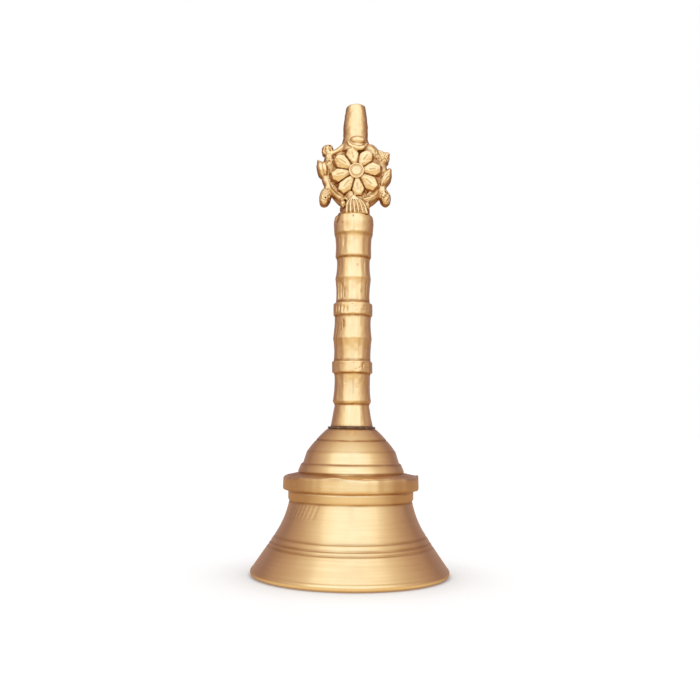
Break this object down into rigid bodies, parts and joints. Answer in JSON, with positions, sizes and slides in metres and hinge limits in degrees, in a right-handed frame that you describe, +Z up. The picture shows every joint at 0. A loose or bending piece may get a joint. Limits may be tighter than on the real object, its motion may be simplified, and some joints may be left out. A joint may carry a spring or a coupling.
{
  "type": "temple bell",
  "caption": "Hand-held brass bell with a flared turned cup, ringed round handle, flower finial and a clapper hung on a wire link.",
  "frame": {"origin": "centre of the mouth plane, where the bell stands on its rim", "axes": "+Z up the bell's axis to the spout on the finial; the flower's face looks along -Y"},
  "size_m": [0.0736, 0.0736, 0.1786],
  "materials": {
    "cup_brass": "turned and satin polished",
    "handle_brass": "cast, filed and polished",
    "finial_brass": "cast and chased",
    "clapper_brass": "turned",
    "black_washer": "blackened",
    "steel_fixings": "zinc plated",
    "steel_wire": "drawn wire"
  },
  "bodies": {
    "bell": {"bell_cup": "cup_brass", "seat_washer": "black_washer", "handle_grip": "handle_brass", "finial": "finial_brass", "eye_bolt": "steel_fixings", "crown_washer": "steel_fixings", "clamp_nut": "steel_fixings"},
    "link": {"hanger_link": "steel_wire"},
    "clapper": {"clapper_rod": "steel_wire", "clapper_ball": "clapper_brass"}
  },
  "joints": [
    {"name": "link_swing", "type": "hinge", "parent": "bell", "child": "link", "pos_m": [0, 0, 0.0351], "axis": [1, 0, 0], "range_deg": [-40, 40]},
    {"name": "clapper_swing", "type": "hinge", "parent": "link", "child": "clapper", "pos_m": [0, 0, 0.02905], "axis": [0, 1, 0], "range_deg": [-10, 10]}
  ]
}
